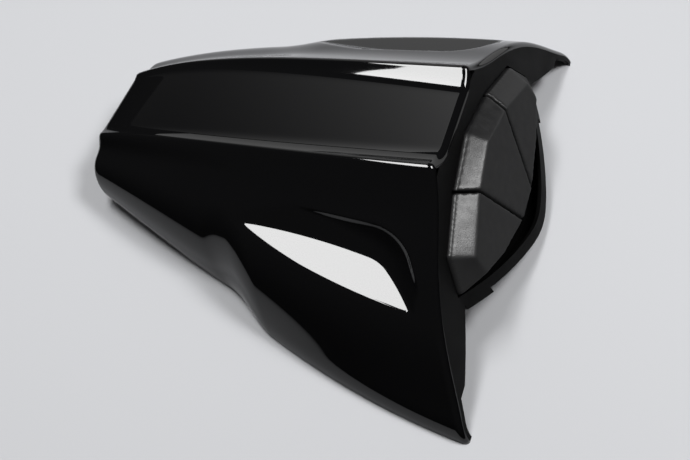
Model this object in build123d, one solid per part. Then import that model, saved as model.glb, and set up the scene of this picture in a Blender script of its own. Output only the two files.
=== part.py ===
from build123d import *
import math
import os

# Seat cowl: a thin moulded shell open below, with a padded front wall.
# Millimetres and degrees. X points forward, Y to the left, Z up.

# Overall form of the shell
cowl_length = 250.0         # front edge to tail edge along the bottom rim
edge_lean = 31.7            # front wall, tail and sections lean back this much from upright
wall = 2.5                  # moulded wall
front_edge_radius = 3.0
tail_edge_radius = 3.0

# Deck between the two ridges
ridge_half_front = 38.3
ridge_half_tail = 26.6
ridge_height_front = 83.7
ridge_height_tail = 30.5
ridge_droop = 12.0          # extra fall of the ridges close to the tail
ridge_radius = 4.0
rail_radius = 29.0          # hollow that turns the deck up into each ridge
rail_angle_front = 33.0
rail_angle_tail = 12.0

# Flanks between the ridges and the bottom rim
flank_bulge = 12.0          # fullness of a flank over its straight chord
shoulder_angle_front = 42.0
shoulder_angle_tail = 24.0

# Bottom rim seen from above
wing_half = 150.0           # half width at the wing tips
wing_sweep = 14.0           # straight part of the narrowing behind the tips
wing_bow = 26.0             # curved part of that narrowing
kink_station = 139.0        # the rim steps in here
kink_run = 38.0
kink_rear_half = 99.0       # half width of the rear rim, carried forward to the kink
tail_half = 52.0
tail_bow = 3.5

# Scoop pressed into each flank, in its own plane: forward, up the flank and outward
scoop_station = 30.0        # the plane touches the flank here
scoop_rear_station = 110.0  # and follows it back to here
scoop_back = 12.0           # from that touching point back to the start of the turn
scoop_top = 12.8            # the lip above that point
scoop_sink = 1.1            # the lip lies this much inside the plane at the turn
scoop_climb = 1.6           # the lip's plane follows the flank at this angle
scoop_slope = 2.9           # the lip rises forward at this angle
scoop_length = 104.0        # straight lip behind the turn
scoop_turn_radius = 30.0
scoop_turn = 61.0
scoop_leg = 36.0            # lip below the turn
scoop_wall_width = 4.5
scoop_wall_depth = 3.7      # at the turn
scoop_ledge_slope = 9.8     # below the wall a ledge deepens at this angle
scoop_ledge_reach = 26.0    # the ledge goes on to this far from the lip
scoop_run_out = 3.4         # the ledge comes up again rearward
facet_rear_drop = 17.8      # lower edge of the facet below the lip's height, at the rear
facet_rear_back = 69.5      # from the turn back to that point
facet_sink = 1.3            # that edge lies this much inside the plane
facet_slope = 14.4          # it falls forward at this angle
facet_tilt = 17.5           # the facet turns up from the flank by this angle

# Pad of three segments on the front wall; heights run along the wall
pad_margin = 10.8           # from the deck's front edge down to the pad's top
pad_half_top = 38.0         # groove at the pad's upper edge
pad_half_low = 12.5         # groove at the pad's lower edge
pad_half_shoulder = 74.0
pad_half_tip = 85.0
pad_half_bend = 45.0        # bend of the lower edge
pad_corner_drop = 6.3       # depths below the pad's top
pad_shoulder_drop = 18.3
pad_tip_drop = 37.4
pad_bend_rise = 9.0         # the bend above the middle of the lower edge
pad_stand = 1.7             # straight edge of the pad above the wall
pad_height = 11.0           # crest of the pad above the wall
pad_face_fall = 1.0         # the front face is this much lower at its lower edge
pad_bevel = 8.5             # depth of the upper bevel
pad_bevel_in = 6.3          # the crest's corners come in by this much
pad_end_bevel = 17.3        # width of the bevel at each tip
pad_end_drop = 4.6
pad_low_bevel = 1.8
groove = 1.4                # gap between two segments
pocket_depth = 2.5
pocket_gap = 1.5            # round the pad in its pocket

# Chin shelf below the pad, and the open front below it
chin_clearance = 6.9        # lowest front edge of the chin above the ground
chin_height = 17.4          # from that edge up to the pad
chin_reach = 11.3           # how far it stands out of the wall
chin_half = 86.0
chin_rise = 36.6            # its ends lie this much higher than its middle
chin_side_half = 62.0
chin_side_rise = 22.7
chin_mid_half = 26.0
chin_mid_rise = 6.5
chin_lift = 1.5             # nothing of the front wall comes closer to the ground
chin_step = 4.0             # the ends of the chin reach this much lower
chin_step_half = 66.0       # from here outward
chin_shelf = 3.0
chin_rim = 7.0              # height of the raised front rim
arch_half = 112.0           # opening under the front wall in each wing
arch_height = 23.4          # heights along the wall
arch_end_half = 124.0
arch_end_height = 18.0
wing_flange = 6.0           # flange left along the wing's front edge

# Stations along the shell, as shares of its length
section_shares = [step / 11 for step in range(12)]
edge_shares = (0.0, 0.3, 1.0)
flank_shares = (0.15, 0.33, 0.6, 0.88)
flank_fullness = (0.22, 0.78, 1.05, 0.55)

# Ribs, bosses and pedestals under the deck
rib_stations = (45.0, 85.0, 150.0)
rib_half = 24.0
rib_depth = 9.0
rib_thick = 2.0
boss_radius = 5.0
pedestal_radius = 6.5
hole_clearance = 0.2

# Rubber buffers that sit on the seat frame
buffer_level = 30.0         # their upper faces
buffer_radius = 8.0
buffer_height = 8.0
buffer_edge = 1.5
buffer_stem_radius = 2.5
buffer_stem_length = 8.0
front_buffer_back = 85.0    # behind the front edge
front_buffer_half = 62.0
rear_buffer_ahead = 11.0    # ahead of the rear tongue's middle
rear_buffer_half = 28.0

# Latch striker: a plate with a rod loop, screwed to two bosses
striker_back = 140.0
striker_level = 44.0        # lower ends of its bosses
striker_plate = 2.0
striker_plate_length = 30.0
striker_plate_width = 64.0
plate_corner = 4.0
striker_rod_radius = 3.0
striker_loop_width = 26.0
striker_loop_depth = 24.0
striker_bend = 8.0
striker_screw_pitch = 48.0

# Rear tongue: a stepped strap screwed to two bosses
tongue_gap = 10.0           # from its end to the tail's inner face
tongue_level = 30.0
tongue_plate = 2.5
tongue_width = 28.0
tongue_seat = 26.0          # flat part under the bosses
tongue_ramp = 8.0
tongue_step = 7.0
tongue_reach = 14.0
tongue_screw_pitch = 14.0

# Pan head screws
screw_radius = 2.0
screw_length = 11.0
screw_head_radius = 4.0
screw_head_height = 2.4

lean = math.radians(edge_lean)
up = 1 / math.cos(lean)     # length along a leaning section for each unit of height
tail_back = cowl_length - wall * up + (tongue_level - tongue_step) * math.tan(lean)
tongue_back = tail_back - tongue_gap - tongue_reach - tongue_ramp - tongue_seat / 2
rear_buffer_back = tongue_back - rear_buffer_ahead


def smooth(share):
    """Eased step from 0 to 1."""
    held = min(max(share, 0.0), 1.0)
    return held * held * (3 - 2 * held)


def section_plane(station):
    """Leaning plane across the shell, with Y as its first axis and up the lean as its second."""
    return Plane(origin=(-station, 0, 0), x_dir=(0, 1, 0), z_dir=(math.cos(lean), 0, math.sin(lean)))


def ridge(station):
    """Half width and in-plane height of the ridge line."""
    share = station / cowl_length
    half = ridge_half_front - (ridge_half_front - ridge_half_tail) * share ** 3
    fall = ridge_height_front - ridge_height_tail - ridge_droop
    height = ridge_height_front - fall * share - ridge_droop * share ** 5
    return half, height * up


def rail_turn(station):
    """Angle through which the deck turns up into its ridges."""
    share = station / cowl_length
    return math.radians(rail_angle_front + (rail_angle_tail - rail_angle_front) * share)


def deck_height(station):
    """In-plane height of the flat of the deck."""
    return ridge(station)[1] - (rail_radius + ridge_radius) * (1 - math.cos(rail_turn(station)))


def rim_half(station):
    """Half width of the bottom rim."""
    ahead = station / kink_station
    front = wing_half - wing_sweep * ahead - wing_bow * ahead ** 2
    behind = (station - kink_station) / (cowl_length - kink_station)
    rear = kink_rear_half + (tail_half - kink_rear_half) * behind
    rear += 4 * tail_bow * max(behind, 0) * (1 - behind)
    step = smooth((station - kink_station) / kink_run + 0.5)
    return front + (rear - front) * step


def flank_points(station, inset):
    """Points of one flank from under its ridge down to the rim, and its starting direction."""
    half, height = ridge(station)
    share = station / cowl_length
    angle = math.radians(shoulder_angle_front + (shoulder_angle_tail - shoulder_angle_front) * share)
    slope = Vector(math.cos(angle), -math.sin(angle))
    outward = Vector(math.sin(angle), math.cos(angle))
    start = Vector(half, height - ridge_radius) + outward * ridge_radius
    end = Vector(rim_half(station), 0)
    chord = end - start
    normal = Vector(-chord.Y, chord.X).normalized()
    points = [start - outward * inset]
    for along, fullness in zip(flank_shares, flank_fullness):
        points.append(start + chord * along + normal * (flank_bulge * fullness - inset))
    points.append(end - Vector(inset, 0))
    return points, slope


def section(station, inset=0.0, skirt=0.0):
    """Closed outline across the shell; the inner one is inset and has a skirt below the rim."""
    half, height = ridge(station)
    turn = rail_turn(station)
    hollow_radius = rail_radius + inset
    crown = ridge_radius - inset
    foot = half - (rail_radius + ridge_radius) * math.sin(turn)
    deck = deck_height(station) - inset
    rail_centre = Vector(foot, deck + hollow_radius)
    rail_end = rail_centre + Vector(math.sin(turn), -math.cos(turn)) * hollow_radius
    rail_mid = rail_centre + Vector(math.sin(turn / 2), -math.cos(turn / 2)) * hollow_radius
    points, slope = flank_points(station, inset)
    crown_mid = Vector(half, height - ridge_radius + crown)
    side = Curve() + [
        ThreePointArc((foot, deck), rail_mid, rail_end),
        ThreePointArc(rail_end, crown_mid, points[0]),
        Spline(*points, tangents=[slope, (0, -1)]),
    ]
    bottom = points[-1]
    if skirt:
        low = bottom - Vector(0, skirt)
        side += Line(bottom, low)
        bottom = low
    other = mirror(side, Plane.YZ)
    deck_line = Line((-foot, deck), (foot, deck))
    base = Line(bottom, (-bottom.X, bottom.Y))
    return section_plane(station) * make_face(side.edges() + other.edges() + [deck_line, base])


def rounded_end(station, radius, inward):
    """Slice of the block that rounds the edge of one end; inward is 1 at the front, -1 at the tail."""
    slices = []
    for share in edge_shares:
        depth = radius * share
        inset = radius - math.sqrt(radius ** 2 - (radius - depth) ** 2)
        slices.append(section(station + inward * depth * up, inset, wall))
    return loft(slices)


def outer_form():
    """Outside of the shell as a full block with rounded front and tail edges."""
    start = front_edge_radius * up
    run = cowl_length - tail_edge_radius * up - start
    middle = loft([section(start + run * share, 0, wall) for share in section_shares])
    front = rounded_end(0, front_edge_radius, 1)
    tail = rounded_end(cowl_length, tail_edge_radius, -1)
    return split(front + middle + tail, Plane.XY, keep=Keep.TOP)


def inner_form():
    """Hollow of the shell, running out below the rim."""
    reach = wall * up
    run = cowl_length - 2 * reach
    return loft([section(reach + run * share, wall, wall) for share in section_shares])


def flank_place(station, share):
    """Point of the right flank in space."""
    points, slope = flank_points(station, 0)
    local = points[1 + flank_shares.index(share)]
    return section_plane(station).from_local_coords(Vector(-local.X, local.Y, 0))


def scoop_plane():
    """Plane of the right flank's scoop: forward along the flank, up the flank, outward."""
    front = flank_place(scoop_station, flank_shares[1])
    rear = flank_place(scoop_rear_station, flank_shares[1])
    high = flank_place(scoop_station, flank_shares[0])
    low = flank_place(scoop_station, flank_shares[2])
    forward = (front - rear).normalized()
    outward = forward.cross(high - low).normalized()
    return Plane(origin=front, x_dir=forward, z_dir=outward)


def scoop_outline(inset, level):
    """Lip of the scoop moved inward, closed far below it; level is its height over the lip."""
    turn = math.radians(scoop_turn)
    radius = scoop_turn_radius - inset
    centre = Vector(0, -scoop_turn_radius)
    top = centre + Vector(0, radius)
    middle = centre + Vector(math.sin(turn / 2), math.cos(turn / 2)) * radius
    end = centre + Vector(math.sin(turn), math.cos(turn)) * radius
    leg = end + Vector(math.cos(turn), -math.sin(turn)) * scoop_leg
    rear = top - Vector(scoop_length, 0)
    base = Vector(rear.X, leg.Y)
    outline = Curve() + [
        Line(rear, top),
        ThreePointArc(top, middle, end),
        Line(end, leg),
        Line(leg, base),
        Line(base, rear),
    ]
    return Pos(0, 0, level) * make_face(outline.edges())


def scoop_cutter(grow=0.0):
    """Solid that presses one scoop; grown by a wall it thickens the inside."""
    turn_point = Vector(-scoop_back, scoop_top, -scoop_sink)
    lip = Plane(origin=turn_point).rotated((0, -scoop_climb, scoop_slope))
    high = scoop_outline(-scoop_wall_width - grow, scoop_wall_depth - grow)
    deep = scoop_outline(2 * scoop_wall_width - grow, -2 * scoop_wall_depth - grow)
    dish = lip * loft([high, deep], ruled=True)
    ledge_plane = Plane(origin=turn_point).rotated((0, scoop_run_out - scoop_climb, scoop_slope))
    rims = []
    for inset in (-2 * scoop_ledge_reach, scoop_ledge_reach):
        fall = (inset - scoop_wall_width) * math.tan(math.radians(scoop_ledge_slope))
        rims.append(scoop_outline(inset, -scoop_wall_depth - fall - grow))
    ledge = ledge_plane * loft(rims, ruled=True)
    edge_end = turn_point - Vector(facet_rear_back, facet_rear_drop, facet_sink - scoop_sink + grow)
    slope, tilt = math.radians(facet_slope), math.radians(facet_tilt)
    forward = Vector(math.cos(slope), -math.sin(slope), 0)
    upward = Vector(math.sin(slope), math.cos(slope), 0)
    outward = upward * math.sin(tilt) + Vector(0, 0, math.cos(tilt))
    facet = Plane(origin=edge_end, x_dir=forward, z_dir=outward)
    span = 4 * scoop_length
    above = Box(span, span, span, align=(Align.CENTER, Align.CENTER, Align.MIN))
    return scoop_plane() * (dish & ledge & (facet * above))


def wall_face(points):
    """Plane face through points given as across, height along the front wall, and out of it."""
    front = section_plane(0)
    corners = [front.from_local_coords(Vector(*point)) for point in points]
    return make_face(Polyline(corners, close=True).edges())


def chin_foot():
    """Height along the front wall of the chin's lowest edge."""
    return (chin_clearance - chin_reach * math.sin(lean)) / math.cos(lean)


def pad_corners():
    """Base and front-face corners of half the pad: top middle, groove, shoulder, tip, bend, low groove."""
    top = deck_height(0) - pad_margin
    low = chin_foot() + chin_height
    base = {
        "top": (0, top),
        "groove": (pad_half_top, top - pad_corner_drop),
        "shoulder": (pad_half_shoulder, top - pad_shoulder_drop),
        "tip": (pad_half_tip, top - pad_tip_drop),
        "bend": (pad_half_bend, low + pad_bend_rise),
        "low": (pad_half_low, low),
    }
    inset = {
        "top": (0, pad_bevel),
        "groove": (pad_bevel_in, pad_bevel),
        "shoulder": (pad_bevel_in, pad_bevel + pad_low_bevel),
        "tip": (pad_end_bevel, pad_end_drop),
        "bend": (0, -pad_low_bevel),
        "low": (0, -pad_low_bevel),
    }
    crest = top - pad_bevel
    face = {}
    for name, (across, height) in base.items():
        level = height - inset[name][1]
        out = pad_height - pad_face_fall * (crest - level) / (crest - low)
        face[name] = (across - inset[name][0], level, out)
    return base, face


def pad_block(names, shift):
    """One segment between the named corners; shift moves its groove corners aside."""
    base, face = pad_corners()

    def moved(name, point):
        return (point[0] + shift, *point[1:]) if name in ("groove", "low") else point

    outline = [moved(name, base[name]) for name in names]
    crown = [moved(name, face[name]) for name in names]
    if shift < 0:
        outline += [(-point[0], *point[1:]) for point in reversed(outline) if point[0] > 0]
        crown += [(-point[0], *point[1:]) for point in reversed(crown) if point[0] > 0]
    foot = wall_face([(*point, -pocket_depth) for point in outline])
    shoulder = wall_face([(*point, pad_stand) for point in outline])
    stand = extrude(foot, pocket_depth + pad_stand, dir=section_plane(0).z_dir)
    return stand + loft([shoulder, wall_face(crown)], ruled=True)


def pocket(grow, depth):
    """Recess that holds the pad, grown outward and sunk to a depth below the wall."""
    base = pad_corners()[0]
    half = [base[name] for name in ("top", "groove", "shoulder", "tip", "bend", "low")]
    outline = half + [(-point[0], point[1]) for point in reversed(half) if point[0] > 0]
    shape = offset(make_face(Polyline(outline, close=True).edges()), pocket_gap + grow)
    return extrude(section_plane(0) * shape, depth, dir=-section_plane(0).z_dir)


def chin_edge(rise=0.0):
    """Lower edge of the chin on the front wall from its left end to its right end."""
    steps = [(chin_half, chin_rise), (chin_side_half, chin_side_rise), (chin_mid_half, chin_mid_rise)]
    left = [(across, chin_foot() + height + rise) for across, height in steps]
    right = [(-across, height) for across, height in reversed(left)]
    return left + [(0, chin_foot() + rise)] + right


def chin_strip(low, high):
    """Face on the front wall between the chin's lower edge moved to two heights."""
    below = Spline(*chin_edge(low))
    above = Spline(*chin_edge(high))
    ends = [Line(below @ 0, above @ 0), Line(below @ 1, above @ 1)]
    return section_plane(0) * make_face([*below.edges(), *above.edges(), *ends])


def chin_band(height):
    """Slab ahead of the front wall, this high above the chin's lower edge."""
    return extrude(chin_strip(0, height), 2 * chin_reach, dir=section_plane(0).z_dir)


def chin_bow(inset):
    """Bowed prism that the chin is cut from, between the front wall and an arc ahead of it."""
    reach = chin_reach - inset
    half = chin_half - inset
    plan = Plane(origin=(0, 0, 0), x_dir=(0, 1, 0), z_dir=section_plane(0).y_dir)
    arc = ThreePointArc((half, 0), (0, -reach), (-half, 0))
    shape = make_face([*arc.edges(), Line((half, 0), (-half, 0))])
    return extrude(plan * shape, 2 * chin_rise, both=True)


def chin_ends():
    """Slabs through the front wall that lower the chin's edge at its two ends."""
    slab = extrude(chin_strip(-chin_step, 0), 2 * chin_reach, both=True, dir=section_plane(0).z_dir)
    return slab - Box(cowl_length, 2 * chin_step_half, cowl_length)


def chin():
    """Shelf below the pad with a raised front rim and stepped ends."""
    bow = chin_bow(0)
    shelf = bow & chin_band(chin_shelf)
    rim = (bow - chin_bow(wall)) & chin_band(chin_rim)
    return shelf + rim + (bow & chin_ends())


def front_opening():
    """Space below the front wall, bounded by the chin, the wing arches and a flange at each wing."""
    low = chin_foot() - 2 * chin_height
    edge = Spline(*chin_edge())
    chin_end = (chin_half, chin_foot() + chin_rise)
    arch = Spline(chin_end, (arch_half, arch_height), (arch_end_half, arch_end_height))
    ledge = Polyline((arch_end_half, arch_end_height), (wing_half, arch_end_height), (wing_half, low))
    side = Curve() + [*arch.edges(), *ledge.edges()]
    other = mirror(side, Plane.YZ)
    base = Line((wing_half, low), (-wing_half, low))
    shape = section_plane(0) * make_face([*edge.edges(), *side.edges(), *other.edges(), base])
    through = section_plane(0).z_dir
    below = extrude(shape, 2 * wall, both=True, dir=through)
    inside = extrude(section(0, wing_flange, 2 * chin_height), 2 * wall, both=True, dir=through)
    return (below & inside) - chin_ends()


def rib(station):
    """Cross rib under the deck, still uncut by the shell's inner face."""
    plane = section_plane(station)
    shape = plane * Pos(0, deck_height(station)) * Rectangle(2 * rib_half, 2 * (wall + rib_depth))
    return extrude(shape, rib_thick / 2, both=True, dir=plane.z_dir)


def rod(back, across, level, radius, length):
    """Upright cylinder that starts at a level and goes up."""
    upward = (Align.CENTER, Align.CENTER, Align.MIN)
    return Pos(-back, across, level) * Cylinder(radius, length, align=upward)


def buffer(back, across):
    """Rubber buffer with its stem, hanging from its pedestal."""
    pad = rod(back, across, buffer_level - buffer_height, buffer_radius, buffer_height)
    pad = chamfer(pad.edges().group_by(Axis.Z)[0], buffer_edge)
    return pad + rod(back, across, buffer_level, buffer_stem_radius, buffer_stem_length)


def screw(back, across, level):
    """Pan head screw driven upward, with its head below the level."""
    head = rod(back, across, level - screw_head_height, screw_head_radius, screw_head_height)
    head = fillet(head.edges().group_by(Axis.Z)[0], screw_head_height / 2)
    return head + rod(back, across, level, screw_radius, screw_length)


def striker_holder():
    """Plate with rounded corners and two screw holes."""
    shape = RectangleRounded(striker_plate_length, striker_plate_width, plate_corner)
    plate = Pos(-striker_back, 0, striker_level) * extrude(shape, -striker_plate)
    under = striker_level - striker_plate
    for back, across, level, thick in striker_places:
        plate -= rod(back, across, under, screw_radius + hole_clearance, thick)
    return plate


def striker_bar():
    """Rod bent to a loop below the plate."""
    top = striker_level - striker_plate
    low = top - striker_loop_depth
    half = striker_loop_width / 2
    route = FilletPolyline(
        (-striker_back, half, top), (-striker_back, half, low),
        (-striker_back, -half, low), (-striker_back, -half, top), radius=striker_bend,
    )
    start = Plane(origin=(-striker_back, half, top), z_dir=(0, 0, -1))
    return sweep(start * Circle(striker_rod_radius), path=route)


def tongue():
    """Stepped strap with two screw holes."""
    front = -tongue_back + tongue_seat / 2
    rear = front - tongue_seat
    foot = rear - tongue_ramp
    end = foot - tongue_reach
    low = tongue_level - tongue_step
    upper = [(front, tongue_level), (rear, tongue_level), (foot, low), (end, low)]
    lower = [(x, z - tongue_plate) for x, z in reversed(upper)]
    shape = Plane.XZ * make_face(Polyline(upper + lower, close=True).edges())
    strap = extrude(shape, tongue_width / 2, both=True)
    under = tongue_level - tongue_plate
    for back, across, level, thick in tongue_places:
        strap -= rod(back, across, under, screw_radius + hole_clearance, thick)
    return strap


def cowl_shell():
    """The moulded shell with its scoops, pad pocket, chin, ribs, bosses and pedestals."""
    press = scoop_cutter()
    backing = scoop_cutter(wall)
    outer = outer_form() - press - mirror(press, Plane.XZ)
    hollow = inner_form() - backing - mirror(backing, Plane.XZ) - pocket(wall, pocket_depth + wall)
    shell = outer - hollow - pocket(0, pocket_depth) - front_opening() + chin()
    shell -= Pos(0, 0, chin_lift) * Box(
        2 * chin_height, 2 * chin_half, 2 * chin_height, align=(Align.CENTER, Align.CENTER, Align.MAX)
    )
    for station in rib_stations:
        shell += rib(station) & hollow
    holds = [(back, across, level, boss_radius, screw_radius, screw_length - plate)
             for back, across, level, plate in screw_places]
    holds += [(back, across, buffer_level, pedestal_radius, buffer_stem_radius, buffer_stem_length)
              for back, across in buffer_places.values()]
    for back, across, level, radius, bore, depth in holds:
        shell += rod(back, across, level, radius, ridge_height_front) & hollow
        shell -= rod(back, across, level, bore + hole_clearance, depth + hole_clearance)
    return shell


buffer_places = {
    "buffer_front_left": (front_buffer_back, front_buffer_half),
    "buffer_front_right": (front_buffer_back, -front_buffer_half),
    "buffer_rear_left": (rear_buffer_back, rear_buffer_half),
    "buffer_rear_right": (rear_buffer_back, -rear_buffer_half),
}
striker_places = [
    (striker_back, side * striker_screw_pitch / 2, striker_level, striker_plate) for side in (1, -1)
]
tongue_places = [
    (tongue_back + side * tongue_screw_pitch / 2, 0, tongue_level, tongue_plate) for side in (1, -1)
]
screw_places = striker_places + tongue_places
side_names = ("groove", "shoulder", "tip", "bend", "low")
pad_left = pad_block(side_names, groove / 2)

nodes = {
    "cowl_shell": cowl_shell(),
    "pad_left": pad_left,
    "pad_center": pad_block(("top", "groove", "low"), -groove / 2),
    "pad_right": mirror(pad_left, Plane.XZ),
    "striker_plate": striker_holder(),
    "striker_loop": striker_bar(),
    "striker_screws": Compound([screw(x, y, z - t) for x, y, z, t in striker_places]),
    "rear_tongue": tongue(),
    "tongue_screws": Compound([screw(x, y, z - t) for x, y, z, t in tongue_places]),
}
for name, (back, across) in buffer_places.items():
    nodes[name] = buffer(back, across)

# The frame's origin is the middle of the bottom rim's box
box = nodes["cowl_shell"].bounding_box()
to_origin = Pos(-box.center().X, 0, -box.min.Z)
os.makedirs("parts", exist_ok=True)
for name, solid in nodes.items():
    export_step(to_origin * solid, f"parts/{name}.step")
    print(name, solid.is_valid, len(solid.solids()), round(solid.volume))
print(to_origin.position)
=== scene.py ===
import math

import bpy
import numpy as np
from mathutils import Matrix, Vector
from mathutils.bvhtree import BVHTree


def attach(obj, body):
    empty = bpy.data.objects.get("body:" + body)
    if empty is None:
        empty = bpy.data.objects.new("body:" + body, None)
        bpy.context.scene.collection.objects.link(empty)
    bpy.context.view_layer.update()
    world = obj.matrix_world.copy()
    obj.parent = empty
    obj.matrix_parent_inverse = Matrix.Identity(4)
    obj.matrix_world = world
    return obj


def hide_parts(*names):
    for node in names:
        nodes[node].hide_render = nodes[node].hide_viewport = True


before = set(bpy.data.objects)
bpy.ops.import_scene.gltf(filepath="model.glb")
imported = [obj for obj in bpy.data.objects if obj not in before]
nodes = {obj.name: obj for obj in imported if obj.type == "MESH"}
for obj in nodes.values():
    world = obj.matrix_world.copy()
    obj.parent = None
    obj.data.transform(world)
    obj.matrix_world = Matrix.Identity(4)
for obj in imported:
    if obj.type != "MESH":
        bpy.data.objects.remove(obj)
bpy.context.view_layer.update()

mm = 0.001


def deselectAll():
    bpy.ops.object.select_all(action="DESELECT")


def makeActive(piece):
    deselectAll()
    piece.select_set(True)
    bpy.context.view_layer.objects.active = piece


def linear(hexColour):   # sRGB hex to the linear values that the sockets take
    shares = [int(hexColour[i:i + 2], 16) / 255 for i in (1, 3, 5)]
    return [s / 12.92 if s <= 0.04045 else ((s + 0.055) / 1.055) ** 2.4 for s in shares] + [1.0]


def addNode(tree, kind, inputs=None, links=None, **settings):
    node = tree.nodes.new(kind)
    for name, value in settings.items():
        setattr(node, name, value)
    for name, value in (inputs or {}).items():
        node.inputs[name].default_value = value
    for name, socket in (links or {}).items():
        tree.links.new(socket, node.inputs[name])
    return node


def startMaterial(name):
    material = bpy.data.materials.new(name)
    material.use_nodes = True
    tree = material.node_tree
    tree.nodes.clear()
    shader = addNode(tree, "ShaderNodeBsdfPrincipled")
    addNode(tree, "ShaderNodeOutputMaterial", links={"Surface": shader.outputs["BSDF"]})
    place = addNode(tree, "ShaderNodeTexCoord").outputs["Object"]
    return material, tree, shader, place


# Moulded gloss ABS: a hard black mirror, with the faint waves of the mould
gloss = {"black": "#030304", "ior": 1.53, "roughness": 0.035, "waveMm": 22.0, "waveHeightMm": 0.012}


def glossAbs():
    material, tree, shader, place = startMaterial("glossBlackAbs")
    wave = addNode(tree, "ShaderNodeTexNoise", {"Scale": 1 / (gloss["waveMm"] * mm), "Detail": 1.0}, {"Vector": place})
    bump = addNode(tree, "ShaderNodeBump", {"Distance": gloss["waveHeightMm"] * mm}, {"Height": wave.outputs["Fac"]})
    shader.inputs["Base Color"].default_value = linear(gloss["black"])
    shader.inputs["Roughness"].default_value = gloss["roughness"]
    shader.inputs["IOR"].default_value = gloss["ior"]
    tree.links.new(bump.outputs["Normal"], shader.inputs["Normal"])
    return material


# Surfaces with a fine grain: a slow drift of tone and gloss, and a grain that breaks the light up.
# The grain is drawn coarser than the real one, so that it shows in the render
driftRange = (0.3, 0.7)      # most of the noise lies between these
absCore = {"dark": "#070708", "light": "#0d0d0e", "ior": 1.36, "metal": 0.0, "roughness": (0.42, 0.52),
           "driftMm": 14.0, "grainMm": 0.9, "grainHeightMm": 0.02}    # ABS from the mould's eroded core half
absFrontPaintedShade = {"dark": "#030303", "light": "#070707", "ior": 1.14, "metal": 0.0, "roughness": (0.45, 0.55),
            "driftMm": 14.0, "grainMm": 0.9, "grainHeightMm": 0.02}   # matt-grained ABS; its deeper black and weak reflection are painted shade of the recess round the pads and on the chin
padSkin = {"dark": "#09090a", "light": "#0f0f10", "ior": 1.52, "metal": 0.0, "roughness": (0.32, 0.4),
           "frontMatt": 0.55, "frontTurn": (0.65, 0.9),
           "driftMm": 6.0, "grainMm": 0.9, "grainHeightMm": 0.05}     # integral-skin foam, a satin skin
powderCoat = {"dark": "#0c0c0d", "light": "#171718", "ior": 1.5, "metal": 0.0, "roughness": (0.42, 0.55),
              "driftMm": 12.0, "grainMm": 1.1, "grainHeightMm": 0.04}  # baked powder, slightly orange-peeled
zincPlate = {"dark": "#a3a6a8", "light": "#c2c4c4", "ior": 1.5, "metal": 1.0, "roughness": (0.26, 0.38),
             "driftMm": 7.0, "grainMm": 0.7, "grainHeightMm": 0.01}   # blue-passivated plating, cloudy
bufferRubber = {"dark": "#101010", "light": "#1b1b1b", "ior": 1.52, "metal": 0.0, "roughness": (0.62, 0.78),
                "driftMm": 6.0, "grainMm": 0.6, "grainHeightMm": 0.04}  # moulded rubber, dull


def grained(name, look):
    material, tree, shader, place = startMaterial(name)
    drift = addNode(tree, "ShaderNodeTexNoise", {"Scale": 1 / (look["driftMm"] * mm), "Detail": 3.0}, {"Vector": place})
    grain = addNode(tree, "ShaderNodeTexNoise", {"Scale": 1 / (look["grainMm"] * mm), "Detail": 2.0}, {"Vector": place})
    tone = addNode(tree, "ShaderNodeMix", {6: linear(look["dark"]), 7: linear(look["light"])},
                   {0: drift.outputs["Fac"]}, data_type="RGBA")   # the colour sockets are 6 and 7, and 2 on the way out
    low, high = look["roughness"]
    satin = addNode(tree, "ShaderNodeMapRange",
                    {"From Min": driftRange[0], "From Max": driftRange[1], "To Min": low, "To Max": high},
                    {"Value": drift.outputs["Fac"]}).outputs["Result"]
    if "frontMatt" in look:    # faces that look forward keep the mould's matt grain, those above are rubbed smooth
        normal = addNode(tree, "ShaderNodeNewGeometry").outputs["True Normal"]
        facing = addNode(tree, "ShaderNodeSeparateXYZ", links={"Vector": normal})
        steep, level = look["frontTurn"]
        matt = addNode(tree, "ShaderNodeMapRange",
                       {"From Min": steep, "From Max": level, "To Min": look["frontMatt"], "To Max": 0.0},
                       {"Value": facing.outputs["Z"]})
        satin = addNode(tree, "ShaderNodeMath", links={0: satin, 1: matt.outputs["Result"]}, operation="ADD").outputs[0]
    bump = addNode(tree, "ShaderNodeBump", {"Distance": look["grainHeightMm"] * mm}, {"Height": grain.outputs["Fac"]})
    shader.inputs["Metallic"].default_value = look["metal"]
    shader.inputs["IOR"].default_value = look["ior"]
    tree.links.new(tone.outputs[2], shader.inputs["Base Color"])
    tree.links.new(satin, shader.inputs["Roughness"])
    tree.links.new(bump.outputs["Normal"], shader.inputs["Normal"])
    return material


# Cowl shell: values of the moulded form in mm and degrees, the same as the solid's
cowl = {
    "length": 250.0, "lean": 31.7, "frontEdge": 3.0, "tailEdge": 3.0,
    "ridgeHalf": (38.3, 26.6), "ridgeHeight": (83.7, 30.5), "ridgeDroop": 12.0, "ridgeRadius": 4.0,
    "railRadius": 29.0, "railAngle": (33.0, 12.0),
    "bulge": 12.0, "shoulder": (42.0, 24.0),
    "wingHalf": 150.0, "wingSweep": 14.0, "wingBow": 26.0,
    "kink": 139.0, "kinkRun": 38.0, "kinkHalf": 99.0, "tailHalf": 52.0, "tailBow": 3.5,
    "shares": (0.15, 0.33, 0.6, 0.88), "fullness": (0.22, 0.78, 1.05, 0.55),
    "originBack": 129.316,   # from the front edge back to the frame's origin
}
lean = math.radians(cowl["lean"])
up = 1 / math.cos(lean)      # length along a leaning section for each unit of height


def easedStep(share):
    held = min(max(share, 0.0), 1.0)
    return held * held * (3 - 2 * held)


def between(pair, share):
    return pair[0] + (pair[1] - pair[0]) * share


def ridgeLine(station):      # half width and height of the ridge in its leaning section
    share = station / cowl["length"]
    half = between(cowl["ridgeHalf"], share ** 3)
    front, tail = cowl["ridgeHeight"]
    fall = front - tail - cowl["ridgeDroop"]
    return half, (front - fall * share - cowl["ridgeDroop"] * share ** 5) * up


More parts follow.
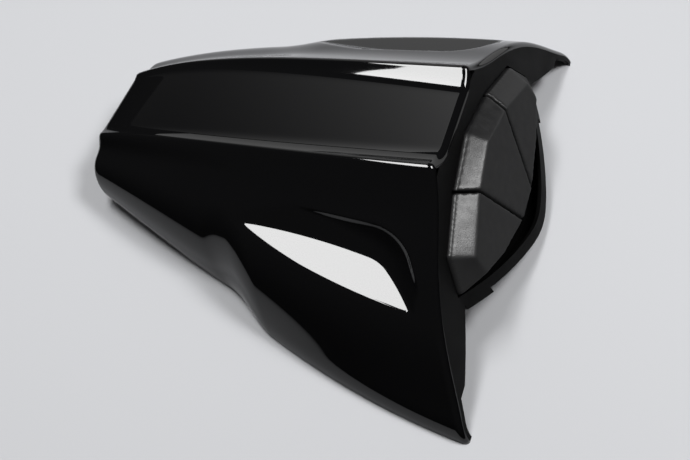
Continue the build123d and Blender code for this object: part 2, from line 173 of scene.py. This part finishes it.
def rimHalf(station):
    ahead = station / cowl["kink"]
    front = cowl["wingHalf"] - cowl["wingSweep"] * ahead - cowl["wingBow"] * ahead ** 2
    behind = (station - cowl["kink"]) / (cowl["length"] - cowl["kink"])
    rear = cowl["kinkHalf"] + (cowl["tailHalf"] - cowl["kinkHalf"]) * behind
    rear += 4 * cowl["tailBow"] * max(behind, 0) * (1 - behind)
    return front + (rear - front) * easedStep((station - cowl["kink"]) / cowl["kinkRun"] + 0.5)


def flankKnots(station, inset):
    half, height = ridgeLine(station)
    angle = math.radians(between(cowl["shoulder"], station / cowl["length"]))
    outward = np.array([math.sin(angle), math.cos(angle)])
    start = np.array([half, height - cowl["ridgeRadius"]]) + outward * cowl["ridgeRadius"]
    end = np.array([rimHalf(station), 0.0])
    chord = end - start
    normal = np.array([-chord[1], chord[0]]) / np.linalg.norm(chord)
    knots = [start - outward * inset]
    for along, fullness in zip(cowl["shares"], cowl["fullness"]):
        knots.append(start + chord * along + normal * (cowl["bulge"] * fullness - inset))
    knots.append(end - np.array([inset, 0.0]))
    return np.array(knots), np.array([math.cos(angle), -math.sin(angle)])


def splineAlong(knots, startWay, endWay, shares):   # smooth curve through the knots, with set end directions
    steps = np.linalg.norm(np.diff(knots, axis=0), axis=1)
    count = len(knots)
    matrix = np.zeros((count, count))
    right = np.zeros((count, 2))
    matrix[0, 0] = matrix[-1, -1] = 1
    right[0], right[-1] = startWay, endWay
    for i in range(1, count - 1):
        before, after = steps[i - 1], steps[i]
        matrix[i, i - 1:i + 2] = 1 / before, 2 / before + 2 / after, 1 / after
        right[i] = 3 * ((knots[i] - knots[i - 1]) / before ** 2 + (knots[i + 1] - knots[i]) / after ** 2)
    slopes = np.linalg.solve(matrix, right)
    places = np.concatenate([[0], np.cumsum(steps)])
    curve = []
    for place in np.asarray(shares) * places[-1]:
        i = min(int(np.searchsorted(places, place, side="right")) - 1, count - 2)
        t = (place - places[i]) / steps[i]
        a, b = knots[i], knots[i + 1]
        curve.append((2 * t ** 3 - 3 * t ** 2 + 1) * a + (t ** 3 - 2 * t ** 2 + t) * steps[i] * slopes[i]
                     + (3 * t ** 2 - 2 * t ** 3) * b + (t ** 3 - t ** 2) * steps[i] * slopes[i + 1])
    return np.array(curve)


mesh = {"deckSteps": 10, "railSteps": 8, "crownSteps": 10, "edgeSteps": 6,
        "flankFine": (0.12, 0.66), "flankFineSteps": 88, "flankSteps": 14, "lip": 1.0,
        "stationFine": (4.0, 130.0), "stationFineStep": 0.9, "stationStep": 2.0}


def flankShares():
    low, high = mesh["flankFine"]
    upper = np.linspace(0, low, mesh["flankSteps"], endpoint=False)
    middle = np.linspace(low, high, mesh["flankFineSteps"], endpoint=False)
    lower = np.linspace(high, 1, 2 * mesh["flankSteps"] + 1)
    return np.concatenate([upper, middle, lower])


def halfSection(station, inset, shares):   # from the middle of the deck out to the rim
    half, height = ridgeLine(station)
    turn = math.radians(between(cowl["railAngle"], station / cowl["length"]))
    reach = cowl["railRadius"] + cowl["ridgeRadius"]
    foot = half - reach * math.sin(turn)
    deck = height - reach * (1 - math.cos(turn)) - inset
    hollow = cowl["railRadius"] + inset
    crown = cowl["ridgeRadius"] - inset
    points = [(foot * s, deck) for s in np.linspace(0, 1, mesh["deckSteps"], endpoint=False)]
    for a in np.linspace(0, turn, mesh["railSteps"], endpoint=False):
        points.append((foot + hollow * math.sin(a), deck + hollow * (1 - math.cos(a))))
    angle = math.radians(between(cowl["shoulder"], station / cowl["length"]))
    for a in np.linspace(-turn, angle, mesh["crownSteps"], endpoint=False):
        points.append((half + crown * math.sin(a), height - cowl["ridgeRadius"] + crown * math.cos(a)))
    knots, slope = flankKnots(station, inset)
    flank = splineAlong(knots, slope, (0.0, -1.0), shares)
    return np.concatenate([np.array(points), flank])


def stationRows():           # stations and insets from the front edge to the tail edge
    turns = np.linspace(0, math.pi / 2, mesh["edgeSteps"] + 1)
    front = [(cowl["frontEdge"] * (1 - math.cos(a)) * up, cowl["frontEdge"] * (1 - math.sin(a))) for a in turns]
    tail = [(cowl["length"] - cowl["tailEdge"] * (1 - math.cos(a)) * up, cowl["tailEdge"] * (1 - math.sin(a)))
            for a in reversed(turns)]
    low, high = mesh["stationFine"]
    fine = np.arange(low, high, mesh["stationFineStep"])
    rest = np.arange(high, tail[0][0] - mesh["stationStep"] / 2, mesh["stationStep"])
    return front + [(s, 0.0) for s in np.concatenate([fine, rest])] + tail


def sectionPlace(station, across, along):   # section values in mm to a place in the frame in m
    return np.stack([cowl["originBack"] - station - along * math.sin(lean), across, along * math.cos(lean)], -1) * mm


# Scoop pressed into each flank, in a plane that touches the flank: forward, up the flank, outward
scoop = {"station": 30.0, "rearStation": 110.0, "back": 12.0, "top": 12.8, "sink": 1.1, "climb": 1.6, "slope": 2.9,
         "turnRadius": 30.0, "turn": 61.0, "wallWidth": 4.5, "wallDepth": 3.7, "ledgeSlope": 9.8, "runOut": 3.4,
         "facetBack": 69.5, "facetDrop": 17.8, "facetSink": 1.3, "facetSlope": 14.4, "facetTilt": 17.5,
         # the rest is the skin's own: a wall in two slopes, soft edges, a ledge that runs out at both ends, the reach
         "lipSlope": 44.0, "lipWidth": 1.6, "wallSlope": 24.0, "lipRound": 0.9, "creaseRound": 0.8,
         "rearRise": 0.0006, "riseFrom": 5.0, "legRise": 0.0042, "legFrom": 1.0,
         "reachBack": 110.0, "reachOut": 6.0, "reachIn": 60.0}


def flankKnot(station, index):
    across, along = flankKnots(station, 0)[0][1 + index]
    return sectionPlace(station, -across, along) / mm


def scoopAxes():
    front = flankKnot(scoop["station"], 1)
    forward = front - flankKnot(scoop["rearStation"], 1)
    forward /= np.linalg.norm(forward)
    outward = np.cross(forward, flankKnot(scoop["station"], 0) - flankKnot(scoop["station"], 2))
    outward /= np.linalg.norm(outward)
    return front, np.array([forward, np.cross(outward, forward), outward])


def turned(x, y, z):         # turns about x, then the turned y, then the turned z
    turns = [Matrix.Rotation(math.radians(a), 3, axis) for a, axis in ((x, "X"), (y, "Y"), (z, "Z"))]
    return np.array(turns[0] @ turns[1] @ turns[2])


def planeLevel(local, origin, axes):   # height of a plane over each point of the scoop's plane
    normal = axes[:, 2]
    return origin[2] - ((local[:, 0] - origin[0]) * normal[0] + (local[:, 1] - origin[1]) * normal[1]) / normal[2]


def softMax(a, b, radius):
    blend = np.clip(0.5 + 0.5 * (a - b) / radius, 0, 1)
    return b + (a - b) * blend + radius * blend * (1 - blend)


def pressScoop(points):      # moves the right flank's points inward where the scoop is; mm
    front, axes = scoopAxes()
    local = (points - front) @ axes.T
    turnPoint = np.array([-scoop["back"], scoop["top"], -scoop["sink"]])
    lip = turned(0, -scoop["climb"], scoop["slope"])
    flat = (local - turnPoint) @ lip
    turn, radius = math.radians(scoop["turn"]), scoop["turnRadius"]
    x, y = flat[:, 0], flat[:, 1] + radius
    angle = np.arctan2(x, y)
    inset = np.where(x < 0, radius - y, np.where(angle < turn, radius - np.hypot(x, y),
                                                  radius - x * math.sin(turn) - y * math.cos(turn)))
    steep = np.minimum(inset, scoop["lipWidth"])
    lipFall, wallFall = (math.tan(math.radians(scoop[key])) for key in ("lipSlope", "wallSlope"))
    wall = planeLevel(local, turnPoint, lip) - (steep * lipFall + (inset - steep) * wallFall)
    ledgeWay = turned(0, scoop["runOut"] - scoop["climb"], scoop["slope"])
    ledge = planeLevel(local, turnPoint, ledgeWay) - scoop["wallDepth"]
    floor = ledge - (inset - scoop["wallWidth"]) * math.tan(math.radians(scoop["ledgeSlope"]))
    floor += scoop["rearRise"] * np.maximum(-x - scoop["riseFrom"], 0) ** 2
    floor += scoop["legRise"] * np.maximum(x - scoop["legFrom"], 0) ** 2
    edge = turnPoint - np.array([scoop["facetBack"], scoop["facetDrop"], scoop["facetSink"] - scoop["sink"]])
    facet = planeLevel(local, edge, turned(0, 0, -scoop["facetSlope"]) @ turned(-scoop["facetTilt"], 0, 0))
    bottom = softMax(softMax(wall, floor, scoop["creaseRound"]), facet, scoop["creaseRound"])
    level = -softMax(-local[:, 2], -bottom, scoop["lipRound"])
    depth = np.minimum(level - local[:, 2], 0)
    near = (x > -scoop["reachBack"]) & (inset > -scoop["reachOut"]) & (inset < scoop["reachIn"])
    return points + np.where(near, depth, 0)[:, None] * axes[2]


def buildSkin():             # outer skin: a grid laid over the leaning sections
    shares = flankShares()
    rows = stationRows()
    halves = [halfSection(station, inset, shares) for station, inset in rows]
    columns = 2 * (len(halves[0]) - 1)
    deselectAll()
    bpy.ops.mesh.primitive_grid_add(x_subdivisions=columns + 2, y_subdivisions=len(rows) - 1, size=1)
    skin = bpy.context.object
    skin.name = "cowlShellSkin"
    grid = np.zeros((len(rows), columns + 3, 3))
    for r, ((station, inset), half) in enumerate(zip(rows, halves)):
        left = sectionPlace(np.full(len(half), station), half[:, 0], half[:, 1]) / mm
        right = left[::-1] * np.array([1, -1, 1])
        if inset == 0:
            right = pressScoop(right)
        left = right[::-1] * np.array([1, -1, 1])
        tuck = np.array([0, mesh["lip"], 0])
        grid[r] = np.concatenate([[right[0] + tuck], right, left[1:], [left[-1] - tuck]])
    places = np.array([v.co for v in skin.data.vertices])
    column = np.rint((places[:, 0] + 0.5) * (columns + 2)).astype(int)
    row = np.rint((0.5 - places[:, 1]) * (len(rows) - 1)).astype(int)
    skin.data.vertices.foreach_set("co", (grid[row, column] * mm).ravel())
    skin.data.update()
    print("skin", len(rows), "rows", columns, "columns")
    return skin


skin = buildSkin()
makeActive(skin)
bpy.ops.object.mode_set(mode="EDIT")
bpy.ops.mesh.select_all(action="SELECT")
bpy.ops.mesh.normals_make_consistent(inside=False)
bpy.ops.object.mode_set(mode="OBJECT")
top = max(skin.data.polygons, key=lambda p: p.center.z)
if top.normal.z < 0:
    skin.data.flip_normals()
bpy.ops.object.shade_smooth()


# Inside of the shell: the solid's own faces where the skin doesn't lie over them
inner = {"nearMm": 1.0, "clearMm": 2.5, "facing": 0.3, "flat": 0.9995, "overMm": 6.0, "proudMm": 0.1,
         "mergeMm": 0.002, "chinMm": 0.1, "frontMm": 1.0, "smoothDegrees": 28.0}


def copyNode(node, name):    # a solid's mesh as a piece of its own, with its triangles joined up
    piece = nodes[node].copy()
    piece.data = nodes[node].data.copy()
    piece.name = name
    piece.parent = None
    for key in list(piece.keys()):
        del piece[key]
    bpy.context.scene.collection.objects.link(piece)
    piece.data.materials.clear()
    makeActive(piece)
    bpy.ops.object.mode_set(mode="EDIT")
    bpy.ops.mesh.select_all(action="SELECT")
    bpy.ops.mesh.remove_doubles(threshold=inner["mergeMm"] * mm)
    bpy.ops.mesh.select_all(action="DESELECT")
    bpy.ops.object.mode_set(mode="OBJECT")
    if piece.data.has_custom_normals:
        bpy.ops.mesh.customdata_custom_splitnormals_clear()
    return piece


def keepInside(outer):       # front wall, chin, inner wall, ribs and bosses
    body = copyNode("cowl_shell", "cowlShellInside")
    body.data.materials.append(coreAbs)     # slot 0
    body.data.materials.append(frontAbsPaintedShade)    # slot 1: front wall and chin, darkened as painted shade
    ahead = Vector((math.cos(lean), 0, math.sin(lean)))
    frontLevel = cowl["originBack"] * mm * ahead.x
    near, proud = [], []
    for vertex in body.data.vertices:
        place, normal, index, gap = outer.find_nearest(vertex.co)
        near.append(gap < inner["nearMm"] * mm)
        proud.append(gap < inner["overMm"] * mm and (vertex.co - place).dot(normal) > inner["proudMm"] * mm)
    for face in body.data.polygons:
        place, normal, index, gap = outer.find_nearest(face.center)
        flatEnd = abs(face.normal.dot(ahead)) > inner["flat"]
        chin = face.center.dot(ahead) > frontLevel + inner["chinMm"] * mm
        over = gap < inner["clearMm"] * mm and face.normal.dot(normal) > inner["facing"] and not (flatEnd or chin)
        through = any(proud[i] for i in face.vertices) and not flatEnd
        face.select = (over or through or all(near[i] for i in face.vertices)) and not chin
        # faces at the front wall and chin take slot 1, whose darker black is painted shade of the recess round the pads
        face.material_index = int(face.center.dot(ahead) > frontLevel - inner["frontMm"] * mm)
    bpy.ops.object.mode_set(mode="EDIT")
    bpy.ops.mesh.delete(type="FACE")
    bpy.ops.object.mode_set(mode="OBJECT")
    bpy.ops.object.shade_smooth_by_angle(angle=math.radians(inner["smoothDegrees"]))
    print("inside", len(body.data.polygons), "faces")
    return body


blackAbs = glossAbs()
coreAbs = grained("satinAbsCore", absCore)
frontAbsPaintedShade = grained("mattAbsFrontPaintedShade", absFrontPaintedShade)
skin.data.materials.clear()
skin.data.materials.append(blackAbs)
inside = keepInside(BVHTree.FromPolygons([v.co for v in skin.data.vertices], [p.vertices for p in skin.data.polygons]))
makeActive(skin)
inside.select_set(True)
bpy.ops.object.join()
skin.name = "cowlShell"
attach(skin, "root")
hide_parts("cowl_shell")
print("shell", len(skin.data.polygons), "faces")

# Three pads, with the soft edges and folds of moulded foam
padForm = {"names": {"pad_left": "padLeft", "pad_center": "padCenter", "pad_right": "padRight"},
           "cellMm": 0.9, "softShare": 0.5, "softTimes": 12}
padFoam = grained("integralSkinFoam", padSkin)
for node, name in padForm["names"].items():
    piece = copyNode(node, name)
    cells = piece.modifiers.new("evenCells", "REMESH")
    cells.mode, cells.voxel_size = "VOXEL", padForm["cellMm"] * mm
    bpy.ops.object.modifier_apply(modifier=cells.name)
    soft = piece.modifiers.new("softFolds", "SMOOTH")
    soft.factor, soft.iterations = padForm["softShare"], padForm["softTimes"]
    bpy.ops.object.modifier_apply(modifier=soft.name)
    bpy.ops.object.shade_smooth()
    print(name, len(piece.data.polygons), "faces")
    piece.data.materials.append(padFoam)
    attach(piece, "root")
    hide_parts(node)
print("pads", len(padForm["names"]))

# Fittings under the shell keep the solids' own shapes
fittings = {"striker_plate": "powder", "rear_tongue": "powder", "striker_loop": "zinc", "striker_screws": "zinc",
            "tongue_screws": "zinc", "buffer_front_left": "rubber", "buffer_front_right": "rubber",
            "buffer_rear_left": "rubber", "buffer_rear_right": "rubber"}
finishes = {"powder": grained("powderCoatedSteel", powderCoat), "zinc": grained("zincPlatedSteel", zincPlate),
            "rubber": grained("mouldedRubber", bufferRubber)}
for node, kind in fittings.items():
    nodes[node].data.materials.clear()
    nodes[node].data.materials.append(finishes[kind])
print("fittings", len(fittings))

# Floor: a pale painted board, almost matt
floorLook = {"size": 6.0, "pale": "#c4c5c8", "roughness": 0.6}
deselectAll()
bpy.ops.mesh.primitive_plane_add(size=floorLook["size"])
floor = bpy.context.object
floor.name = "studioFloor"
floorMaterial, tree, shader, place = startMaterial("paleFloor")
shader.inputs["Base Color"].default_value = linear(floorLook["pale"])
shader.inputs["Roughness"].default_value = floorLook["roughness"]
floor.data.materials.append(floorMaterial)

# Studio walls: dim, a little lighter overhead
walls = {"height": (0.1, 0.6), "strength": (0.03, 0.07)}
world = bpy.data.worlds.new("studioWorld")
bpy.context.scene.world = world
world.use_nodes = True
tree = world.node_tree
way = addNode(tree, "ShaderNodeTexCoord").outputs["Generated"]
height = addNode(tree, "ShaderNodeSeparateXYZ", links={"Vector": way})
dusk = addNode(tree, "ShaderNodeMapRange",
               {"From Min": walls["height"][0], "From Max": walls["height"][1],
                "To Min": walls["strength"][0], "To Max": walls["strength"][1]}, {"Value": height.outputs["Z"]})
tree.links.new(dusk.outputs["Result"], tree.nodes["Background"].inputs["Strength"])
tree.nodes["Background"].inputs["Color"].default_value = linear("#ffffff")

# Lamps, in m: the overhead pair is mirrored as the white wedge on the far rail and the white blade in the near scoop,
# the wide wall as the far flank's pale sheen, and the front one lights the pads' upper faces and the floor before them
lamps = {
    "overheadSoftbox": {"centre": (-0.6225, 0.227, 1.5), "target": (-0.6225, 0.227, 0.0), "turn": 11.3,
                        "size": (0.31, 0.953), "radiance": 17.0},
    "overheadWing": {"centre": (-0.3576, 0.0749, 1.5), "target": (-0.3576, 0.0749, 0.0), "turn": 11.3,
                     "size": (0.15, 0.30), "radiance": 17.0},
    "backWall": {"centre": (0.4, 2.6, 0.55), "target": (0.4, 0.0, 0.55), "turn": 0.0,
                 "size": (5.2, 1.0), "radiance": 0.55},
    "frontSoftbox": {"centre": (0.65, 0.34, 1.2), "target": (0.1, 0.0, 0.06), "turn": 0.0,
                     "size": (0.6, 0.38), "radiance": 18.0},
}
for name, lamp in lamps.items():
    light = bpy.data.lights.new(name, "AREA")
    light.shape = "RECTANGLE"
    light.size, light.size_y = lamp["size"]
    light.energy = lamp["radiance"] * math.pi * lamp["size"][0] * lamp["size"][1]
    piece = bpy.data.objects.new(name, light)
    bpy.context.scene.collection.objects.link(piece)
    aim = Vector(lamp["target"]) - Vector(lamp["centre"])
    piece.matrix_world = (Matrix.Translation(lamp["centre"]) @ aim.to_track_quat("-Z", "Y").to_matrix().to_4x4()
                          @ Matrix.Rotation(math.radians(lamp["turn"]), 4, "Z"))

# Graded grey card behind: the deck's grey, fading to the tail
card = {"side": 1.6, "across": (-2.6, -0.6), "height": (0.75, 1.85),
        "base": 0.05, "bright": 0.62, "brightAt": -0.75, "fade": 2.2}
deselectAll()
bpy.ops.mesh.primitive_plane_add(size=1)
panel = bpy.context.object
panel.name = "gradedCard"
corners = [(x, card["side"], z) for x in card["across"] for z in card["height"]]
for vertex in panel.data.vertices:
    right, high = vertex.co.x > 0, vertex.co.y > 0
    vertex.co = corners[2 * right + high]
cardMaterial, tree, shader, place = startMaterial("gradedCard")
along = addNode(tree, "ShaderNodeSeparateXYZ", links={"Vector": place}).outputs["X"]
ahead = addNode(tree, "ShaderNodeMath", {1: card["brightAt"]}, {0: along}, operation="SUBTRACT")
power = addNode(tree, "ShaderNodeMath", {1: card["fade"]}, {0: ahead.outputs[0]}, operation="MULTIPLY")
glow = addNode(tree, "ShaderNodeMath", links={0: power.outputs[0]}, operation="EXPONENT")
level = addNode(tree, "ShaderNodeMath", {1: card["bright"], 2: card["base"]}, {0: glow.outputs[0]},
                operation="MULTIPLY_ADD")
shader.inputs["Base Color"].default_value = linear("#000000")
shader.inputs["Emission Color"].default_value = linear("#ffffff")
tree.links.new(level.outputs[0], shader.inputs["Emission Strength"])
panel.data.materials.append(cardMaterial)
panel.visible_camera = False
print("lights", len(lamps))

# Camera at the photograph's viewing angle, in mm and degrees
view = {"place": (152.33, -374.7, 486.28), "turn": 20.666, "look": 53.15, "roll": -3.5033,
        "lens": 51.944, "sensor": 36.0}
lens = bpy.data.cameras.new("photoCamera")
lens.lens, lens.sensor_width = view["lens"], view["sensor"]
camera = bpy.data.objects.new("photoCamera", lens)
bpy.context.scene.collection.objects.link(camera)
camera.matrix_world = (Matrix.Translation(Vector(view["place"]) * mm)
                       @ Matrix.Rotation(math.radians(view["turn"]), 4, "Z")
                       @ Matrix.Rotation(math.radians(90 - view["look"]), 4, "X")
                       @ Matrix.Rotation(math.radians(view["roll"]), 4, "Z"))
bpy.context.scene.camera = camera
bpy.context.scene.view_settings.view_transform = "Standard"
